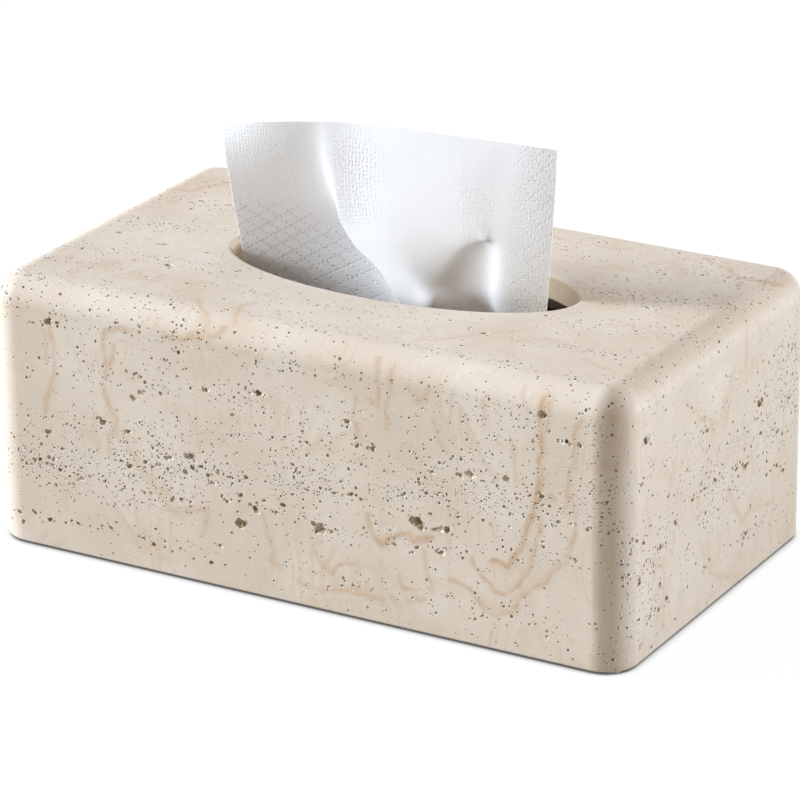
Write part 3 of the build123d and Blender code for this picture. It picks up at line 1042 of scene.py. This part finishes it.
def stone_face(name, settings, groups, veins, beds, first, second):
    """Outer stone: body, the veins and beds of one side, and pores."""
    material, place = new_material(name)
    parts = split(place)
    flat = join(parts[first], parts[second])
    body = use_group(
        groups["body"], Place=place, Base=settings.cream, Cloud=settings.pale, Stain=settings.tan)
    moved = vector_node("ADD", place, vector_node("ADD", bend(place, 0.09, 5.0), bend(place, 0.30, 2.4)))
    moved = split(moved)
    line, wash = draw_veins(groups["vein"], join(moved[first], moved[second]), veins)
    patchy = ramp_node(noise_node(place, 0.16, 3.0, 0.6), 0.30, 0.62, 0.45, 1.0)
    near_vein = math_node("MULTIPLY_ADD", wash, 0.30, 0.20)
    nested = use_group(groups["contour"], Place=place)["Lines"] * near_vein
    colour = mix_colours(wash * 0.55 * patchy, body["Color"], settings.tan)
    line = math_node("MAXIMUM", line * 0.50 * patchy, nested) * 1.3
    colour = mix_colours(line, colour, settings.vein)
    pores, highlight_rims = draw_pores(groups["pores"], flat, open_beds(flat, place, beds))
    # Painted highlight on the pores' lower right, then the painted shade in them
    colour = mix_colours(highlight_rims * 0.95, colour, settings.painted_highlight)
    colour = mix_colours(pores * 0.9, colour, settings.pore_shade)
    roughness = ramp_node(noise_node(place, 0.35, 3.0, 0.6), 0.25, 0.75, 0.48, 0.68)
    raised = math_node("MULTIPLY_ADD", highlight_rims, 0.25, body["Grain"] * 0.10)
    look = {"Base Color": colour, "Roughness": roughness, "Specular IOR Level": 0.35}
    return finish_shader(material, look, raised - pores, 0.4 * MM)


def stone_hollow(name, settings, groups):
    """Broken stone in the holes: pale painted highlight at the mouth, crumbled painted shade in the depth."""
    material, place = new_material(name)
    body = use_group(
        groups["body"], Place=place, Base=settings.hollow, Cloud=settings.cream, Stain=settings.tan)
    depth = use_group(groups["depth"], Place=place)["Depth"]
    crumbs = noise_node(place, 1.1, 3.0, 0.7)
    # Painted shade: darker with depth under the skin, broken up by crumbs
    deep = ramp_node(depth, 0.2, 1.6) * ramp_node(crumbs, 0.42, 0.58, 1.0, 0.05)
    colour = mix_colours(deep, body["Color"], settings.deep)
    # Painted highlight: pale round the mouth of each hole
    colour = mix_colours(ramp_node(depth, 0.05, 0.5, 0.9, 0.0), colour, settings.painted_highlight)
    look = {"Base Color": colour, "Roughness": 0.85, "Specular IOR Level": 0.3}
    return finish_shader(material, look, crumbs, 0.7 * MM)


def stone_cut(name, settings, groups):
    """Stone without veins, for the smooth cavity and the slot."""
    material, place = new_material(name)
    body = use_group(groups["body"], Place=place, Base=settings.cut, Cloud=settings.cream, Stain=settings.tan)
    look = {"Base Color": body["Color"], "Roughness": 0.55, "Specular IOR Level": 0.3}
    return finish_shader(material, look, body["Grain"], 0.08 * MM)


def stone_materials(settings):
    """The cover's materials, in the order of its slots."""
    groups = {
        "vein": vein_group(), "contour": contour_group(), "body": stone_group(),
        "pores": pore_group(), "depth": depth_group(settings)}
    return (
        stone_face("stone_long_side", settings, groups, LONG_VEINS, LONG_BEDS, 0, 2),
        stone_face("stone_end", settings, groups, END_VEINS, END_BEDS, 1, 2),
        stone_face("stone_top", settings, groups, TOP_VEINS, TOP_BEDS, 0, 1),
        stone_cut("stone_cut", settings, groups),
        stone_hollow("stone_hollow", settings, groups),
    )


class TISSUECOVER_OT_carve_cover(bpy.types.Operator):
    """Carve the stone cover: block, cavity, oval slot and the holes of the stone"""

    bl_idname = "tissuecover.carve_cover"
    bl_label = "Carve stone cover"

    def execute(self, context):
        settings = context.scene.tissuecover_cover
        cover = cover_body(settings, stone_materials(settings))
        pit_stone(cover, settings)
        smooth_faces(cover, 32)
        polish_skin(cover, settings)
        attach(cover, "cover")
        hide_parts("cover_shell")
        return {"FINISHED"}


def tissue_points():
    """Points of the standing tissue, row by row from its foot on the stack."""
    middle = Vector((0.0, 0.0, COVER_HIGH.z))
    folds = [[middle + Vector(point) * MM for point in fold] for fold in TISSUE_FOLDS.values()]
    rows = [list(row) for row in zip(*folds)]
    foot = NEXT_HIGH.z + TISSUE_FOOT_GAP
    rise = rows[0][0].z - foot
    below = [[point - Vector((0.0, 0.0, rise * share)) for point in rows[0]] for share in (1.0, 0.5)]
    return below + rows


def press_creases(tissue, columns):
    """Sharpen the folds that are pressed to an edge."""
    names = list(TISSUE_FOLDS)
    for start, end, first, last, sharpness in TISSUE_CREASES:
        folds = range(names.index(start), names.index(end) + 1)
        run = {row * columns + fold for row in range(first, last + 1) for fold in folds}
        select_edges(tissue, lambda edge: all(vertex.index in run for vertex in edge.verts))
        bpy.ops.transform.edge_crease(value=sharpness)
        bpy.ops.object.mode_set(mode="OBJECT")


def mark_pressed(tissue, name, patches, columns):
    """Mark where dots are pressed into the tissue."""
    marks = tissue.data.attributes.new(name, "FLOAT", "POINT").data
    for vertex in tissue.data.vertices:
        row, column = divmod(vertex.index, columns)
        inside = [p[4] for p in patches if p[0] <= column <= p[1] and p[2] <= row <= p[3]]
        marks[vertex.index].value = max(inside, default=0.0)


def run_lengths(points):
    """How far along a run each of its points lies."""
    steps = [(second - first).length for first, second in zip(points, points[1:])]
    return list(itertools.accumulate(steps, initial=0.0))


def lay_flat_uv(piece, rows):
    """UV of a folded sheet: its own flat lengths in metres, along and up."""
    along = run_lengths(rows[len(rows) // 2])
    up = run_lengths([row[0] for row in rows])
    layer = piece.data.uv_layers.active.data
    for loop in piece.data.loops:
        row, column = divmod(loop.vertex_index, len(rows[0]))
        layer[loop.index].uv = (along[column], up[row])


def fold_sheet(name, rows):
    """A flat grid, folded so that its points lie on the given rows."""
    clear_selection()
    columns = len(rows[0])
    bpy.ops.mesh.primitive_grid_add(x_subdivisions=columns - 1, y_subdivisions=len(rows) - 1, size=1.0)
    sheet = name_new(name)
    if len(sheet.data.vertices) != columns * len(rows):
        raise RuntimeError("the grid doesn't match the folds")
    lay_flat_uv(sheet, rows)
    for vertex in sheet.data.vertices:
        row, column = divmod(vertex.index, columns)
        vertex.co = rows[row][column]
    return sheet


def emboss_group():
    """Group: dots pressed along crossing lines, loose dots and the paper's own crepe, on flat millimetres."""
    given = new_group("pressed_dots", Place="Vector")
    place = given["Place"]
    parts = split(vector_node("MULTIPLY", place, (1.0, 1.5, 1.0)))
    rising = (parts[0] + parts[1]) * 0.7071
    falling = (parts[0] - parts[1]) * 0.7071
    lines = []
    for across, along in ((rising, falling), (falling, rising)):
        offset = math_node("PINGPONG", across, DIAMOND_STEP)
        beat = math_node("PINGPONG", along, DOT_STEP)
        gap = math_node("SQRT", offset ** 2.0 + beat ** 2.0)
        lines.append(ramp_node(gap, 0.15, 0.70, 1.0, 0.0))
    cells = add_node(
        "ShaderNodeTexVoronoi", {"Vector": place, "Scale": 0.85, "Randomness": 0.45}, voronoi_dimensions="2D")
    loose = ramp_node(cells["Distance"], 0.10, 0.40, 1.0, 0.0)
    crepe = noise_node(vector_node("MULTIPLY", place, (0.6, 1.4, 1.0)), 1.3, 3.0, 0.7)
    return end_group(Lattice=math_node("MAXIMUM", *lines), Loose=loose, Crepe=crepe)


def tissue_material(settings):
    """Soft white tissue, creped, with dots pressed into parts of it."""
    material, flat = new_material("tissue_paper", "ShaderNodeUVMap", 0)
    pressed = use_group(emboss_group(), Place=flat)
    lattice, loose = [
        pressed[dots] * add_node("ShaderNodeAttribute", {}, "Fac", flat.tree, attribute_name=marks)
        for dots, marks in (("Lattice", "pressed_lattice"), ("Loose", "pressed_loose"))]
    dots = math_node("MAXIMUM", lattice, loose)
    # The crepe varies the white; the pressed dots are painted darker, partly denser paper, partly painted
    # shade of their relief
    crepe_and_dot_shade = ramp_node(pressed["Crepe"], 0.2, 0.8, 0.97, 1.02) - dots * 0.05
    look = {
        "Base Color": mix_colours(1.0, settings.white, crepe_and_dot_shade, "MULTIPLY"), "Roughness": 0.9,
        "Specular IOR Level": 0.1, "Subsurface Weight": 0.85, "Subsurface Radius": (1.0, 1.0, 1.0),
        "Subsurface Scale": 0.7 * MM}
    return finish_shader(material, look, pressed["Crepe"] * 0.12 - dots, settings.emboss)


class TISSUECOVER_OT_fold_tissue(bpy.types.Operator):
    """Fold the tissue that stands in the slot"""

    bl_idname = "tissuecover.fold_tissue"
    bl_label = "Fold standing tissue"

    def execute(self, context):
        settings = context.scene.tissuecover_tissue
        tissue = fold_sheet("standing_tissue", tissue_points())
        columns = len(TISSUE_FOLDS)
        press_creases(tissue, columns)
        mark_pressed(tissue, "pressed_lattice", DIAMOND_PATCHES, columns)
        mark_pressed(tissue, "pressed_loose", DOT_PATCHES, columns)
        levels = settings.smoothing
        apply_modifier(
            tissue, "SUBSURF", levels=levels, render_levels=levels, boundary_smooth="PRESERVE_CORNERS")
        apply_modifier(tissue, "SOLIDIFY", thickness=settings.thickness, offset=0.0)
        set_slots(tissue, [tissue_material(settings)])
        smooth_faces(tissue, 60)
        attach(tissue, "tissue")
        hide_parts("popup_tissue")
        return {"FINISHED"}


def leaf_profile(settings):
    """One folded leaf seen from its end: across and height, from the upper free edge to the lower one."""
    half = (NEXT_HIGH.y - NEXT_LOW.y) / 2
    drop = NEXT_HIGH.z - NEXT_LOW.z - settings.leaf
    places = [-half + 1.5 * MM, -half / 2, 0.0, half / 2, half - 1.0 * MM]
    upper = [(across, 0.0) for across in places]
    lower = [(across, -drop) for across in reversed(places)]
    return [*upper, (half - settings.leaf / 2, -drop / 2), *lower]


def folded_leaf(name, settings):
    """A folded tissue at the top of the pile."""
    half = (NEXT_HIGH.x - NEXT_LOW.x) / 2
    stations = [share * half / 6 for share in range(-6, 7)]
    top = NEXT_HIGH.z - settings.leaf / 2
    rows = []
    for across, height in leaf_profile(settings):
        rows.append([Vector((along, across, top + height)) for along in stations])
    leaf = fold_sheet(name, rows)
    apply_modifier(leaf, "SOLIDIFY", thickness=settings.leaf * LEAF_SHARE, offset=0.0)
    return leaf


class TISSUECOVER_OT_fold_stack(bpy.types.Operator):
    """Fold the tissues that wait in the carton"""

    bl_idname = "tissuecover.fold_stack"
    bl_label = "Fold tissue stack"

    def execute(self, context):
        settings = context.scene.tissuecover_tissue
        draw = random.Random(settings.seed)
        first = folded_leaf("first_tissue", settings)
        set_slots(first, [bpy.data.materials["tissue_paper"]])
        copies = []
        for place in range(1, settings.sheet_count + 1):
            copy = first.copy()
            copy.data = first.data.copy()
            bpy.context.scene.collection.objects.link(copy)
            side = 1 if place % 2 == 0 else -1
            slide = Vector((draw.uniform(-LEAF_SLIDE, LEAF_SLIDE) * MM, 0, -2 * place * settings.pitch))
            copy.data.transform(Matrix.Translation(slide) @ Matrix.Diagonal((1, side, 1, 1)))
            if side < 0:
                copy.data.flip_normals()
            copies.append(copy)
        pick_up(copies[0])
        for copy in copies:
            copy.select_set(True)
        bpy.ops.object.join()
        stack = name_new("folded_tissues")
        for piece, node, count, under in (
                (stack, "tissue_stack", settings.sheet_count, "carton_sleeve"),
                (first, "next_tissue", 1, stack.name)):
            smooth_faces(piece, 40)
            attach(piece, "carton")
            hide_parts(node)
        return {"FINISHED"}


def card_material(settings):
    """Folding boxboard: near-black outside as painted shade, bare board inside and on the cut edges."""
    material, place = new_material("carton_board")
    size = (CARTON_HIGH - CARTON_LOW) * PER_MM
    middle = (CARTON_HIGH + CARTON_LOW) / 2 * PER_MM
    centred = vector_node("DIVIDE", vector_node("SUBTRACT", place, tuple(middle)), tuple(size))
    normal = add_node("ShaderNodeNewGeometry", {}, "Normal", place.tree)
    outside = ramp_node(measure_node("DOT_PRODUCT", centred, normal), 0.30, 0.40)
    fibres = noise_node(vector_node("MULTIPLY", place, (0.3, 1.0, 1.0)), 1.2, 4.0, 0.7)
    board = mix_colours(1.0, settings.board_colour, ramp_node(fibres, 0.3, 0.7, 0.85, 1.12), "MULTIPLY")
    # Near-black outside: painted shade for the dark inside the cover, over the board's fibres
    outside_shade = mix_colours(1.0, settings.outside_shade_colour, ramp_node(fibres, 0.3, 0.7, 0.90, 1.10), "MULTIPLY")
    look = {
        "Base Color": mix_colours(outside, board, outside_shade),
        "Roughness": ramp_node(outside, 0.0, 1.0, 0.85, 0.45)}
    return finish_shader(material, look, fibres, 0.05 * MM, 0.5)


def film_material(settings):
    """Thin clear film with faint ripples."""
    material, place = new_material("slit_film")
    look = {"Base Color": settings.film_colour, "Roughness": 0.12, "Alpha": 0.22}
    return finish_shader(material, look, noise_node(place, 0.05), 0.6 * MM, 0.4)


def pad_material(settings):
    """Soft clear rubber with a fine tooth."""
    material, place = new_material("pad_rubber")
    tooth = noise_node(place, 2.5, 3.0, 0.6)
    colour = mix_colours(1.0, settings.pad_colour, ramp_node(tooth, 0.3, 0.7, 0.92, 1.06), "MULTIPLY")
    return finish_shader(material, {"Base Color": colour, "Roughness": 0.4}, tooth, 0.05 * MM, 0.4)


class TISSUECOVER_OT_finish_pack(bpy.types.Operator):
    """Give the carton, its film and the pads their materials"""

    bl_idname = "tissuecover.finish_pack"
    bl_label = "Finish carton, film and pads"

    def execute(self, context):
        settings = context.scene.tissuecover_pack
        finishes = {
            "carton": card_material(settings),
            "window": film_material(settings),
            "pad": pad_material(settings)}
        for name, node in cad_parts.items():
            start = name.split("_")[0]
            if start in finishes:
                set_slots(node, [finishes[start]])
        return {"FINISHED"}


def empty_tree(owner):
    """The node tree of a material or a world, without its nodes."""
    owner.use_nodes = True
    owner.node_tree.nodes.clear()
    return owner.node_tree


def seen_share(tree):
    """1 for a ray that shows a place in the picture, 0 for one that lights it."""
    rays = add_node("ShaderNodeLightPath", {}, 0, tree)
    straight = rays["Is Camera Ray"] + rays["Is Glossy Ray"]
    return math_node("ADD", straight, rays["Is Transmission Ray"], clamp=True)


def mix_surface(kind, share, first, second):
    """Mix two shaders into the output of their tree."""
    mixed = add_node("ShaderNodeMixShader", {0: share, 1: first, 2: second})
    feed(mixed.tree, mixed.tree.nodes.new(kind).inputs, {"Surface": mixed})


def floor_material():
    """Pale floor: white to the camera, a soft shadow, and a dark line of painted shadow where the cover
    stands.
    """
    material = bpy.data.materials.new("pale_floor")
    tree = empty_tree(material)
    near_dark = add_node("ShaderNodeAmbientOcclusion", {"Distance": 6 * MM}, "AO", tree, samples=12)
    # Painted shadow: occlusion darkens the white into a dark line at the cover's foot
    contact_shadow = ramp_node(near_dark, 0.1, 0.75, 0.08, 1.06)
    white = add_node("ShaderNodeEmission", {"Strength": contact_shadow})
    paint = add_node("ShaderNodeBsdfDiffuse", {"Color": (0.5, 0.5, 0.5)}, 0, tree)
    mix_surface("ShaderNodeOutputMaterial", seen_share(tree) * FLOOR_WHITE, paint, white)
    return material


def light_room(settings):
    """World: white to the camera, an even light to everything else."""
    world = bpy.data.worlds.new("studio")
    bpy.context.scene.world = world
    tree = empty_tree(world)
    even, white = [
        add_node("ShaderNodeBackground", {"Strength": strength, "Color": tint}, 0, tree)
        for strength, tint in ((settings.room_light, settings.room_tint), (1.0, (1.0, 1.0, 1.0)))]
    mix_surface("ShaderNodeOutputWorld", seen_share(tree), even, white)


def direction(azimuth, elevation):
    """Unit vector towards a place round the cover; azimuth 0 is the front."""
    level = math.cos(elevation)
    return Vector((math.sin(azimuth) * level, -math.cos(azimuth) * level, math.sin(elevation)))


def add_sun(name, azimuth, elevation, strength, spread, tint):
    """A broad, distant studio light."""
    lamp = bpy.data.lights.new(name, "SUN")
    lamp.color = tint
    lamp.energy = strength
    lamp.angle = math.radians(spread)
    light = bpy.data.objects.new(name, lamp)
    bpy.context.scene.collection.objects.link(light)
    towards = direction(math.radians(azimuth), math.radians(elevation))
    light.rotation_euler = towards.to_track_quat("Z", "Y").to_euler()
    light.location = towards


def add_camera(settings):
    """Camera at the photograph's viewing angle."""
    lens = bpy.data.cameras.new("camera")
    lens.lens = settings.lens
    lens.sensor_width = 36.0
    lens.clip_start = 0.05
    lens.clip_end = 20.0
    camera = bpy.data.objects.new("camera", lens)
    bpy.context.scene.collection.objects.link(camera)
    back = direction(settings.azimuth, settings.elevation)
    right = Vector((math.cos(settings.azimuth), math.sin(settings.azimuth), 0.0))
    up = back.cross(right)
    middle = Vector((0.0, 0.0, COVER_HIGH.z / 2))
    place = middle + back * settings.distance + right * CAMERA_RIGHT + up * CAMERA_UP
    turned = right * math.cos(settings.roll) + up * math.sin(settings.roll)
    axes = Matrix((turned, back.cross(turned), back)).transposed().to_4x4()
    camera.matrix_world = Matrix.Translation(place) @ axes
    bpy.context.scene.camera = camera


class TISSUECOVER_OT_set_stage(bpy.types.Operator):
    """Set the floor, the lights and the camera"""

    bl_idname = "tissuecover.set_stage"
    bl_label = "Set stage"

    def execute(self, context):
        settings = context.scene.tissuecover_stage
        clear_selection()
        bpy.ops.mesh.primitive_plane_add(size=8.0, location=(0, 0, 0))
        floor = name_new("floor")
        set_slots(floor, [floor_material()])
        light_room(settings)
        for side, azimuth, elevation, spread in LAMPS:
            strength = getattr(settings, f"{side}_light")
            add_sun(f"{side}_light", azimuth, elevation, strength, spread, getattr(settings, f"{side}_tint"))
        add_camera(settings)
        context.scene.view_settings.view_transform = "Standard"
        return {"FINISHED"}


class TISSUECOVER_PT_sidebar(bpy.types.Panel):
    """Buttons that build the cover and what is under it"""

    bl_label = "Tissue cover"
    bl_idname = "TISSUECOVER_PT_sidebar"
    bl_space_type = "VIEW_3D"
    bl_region_type = "UI"
    bl_category = "Tissue cover"

    def draw(self, context):
        for step in STEPS:
            self.layout.operator(step.bl_idname)


STEPS = (
    TISSUECOVER_OT_set_stage,
    TISSUECOVER_OT_carve_cover,
    TISSUECOVER_OT_fold_tissue,
    TISSUECOVER_OT_fold_stack,
    TISSUECOVER_OT_finish_pack,
)
SETTINGS = {
    "tissuecover_cover": CoverSettings,
    "tissuecover_tissue": TissueSettings,
    "tissuecover_pack": PackSettings,
    "tissuecover_stage": StageSettings,
}


def register():
    for made in (*SETTINGS.values(), *STEPS, TISSUECOVER_PT_sidebar):
        bpy.utils.register_class(made)
    for name, made in SETTINGS.items():
        setattr(bpy.types.Scene, name, PointerProperty(type=made))


def unregister():
    for name in SETTINGS:
        delattr(bpy.types.Scene, name)
    for made in (TISSUECOVER_PT_sidebar, *STEPS, *SETTINGS.values()):
        bpy.utils.unregister_class(made)


def main():
    register()
    bpy.ops.tissuecover.set_stage()
    bpy.ops.tissuecover.carve_cover()
    bpy.ops.tissuecover.fold_tissue()
    bpy.ops.tissuecover.fold_stack()
    bpy.ops.tissuecover.finish_pack()


if __name__ == "__main__":
    main()
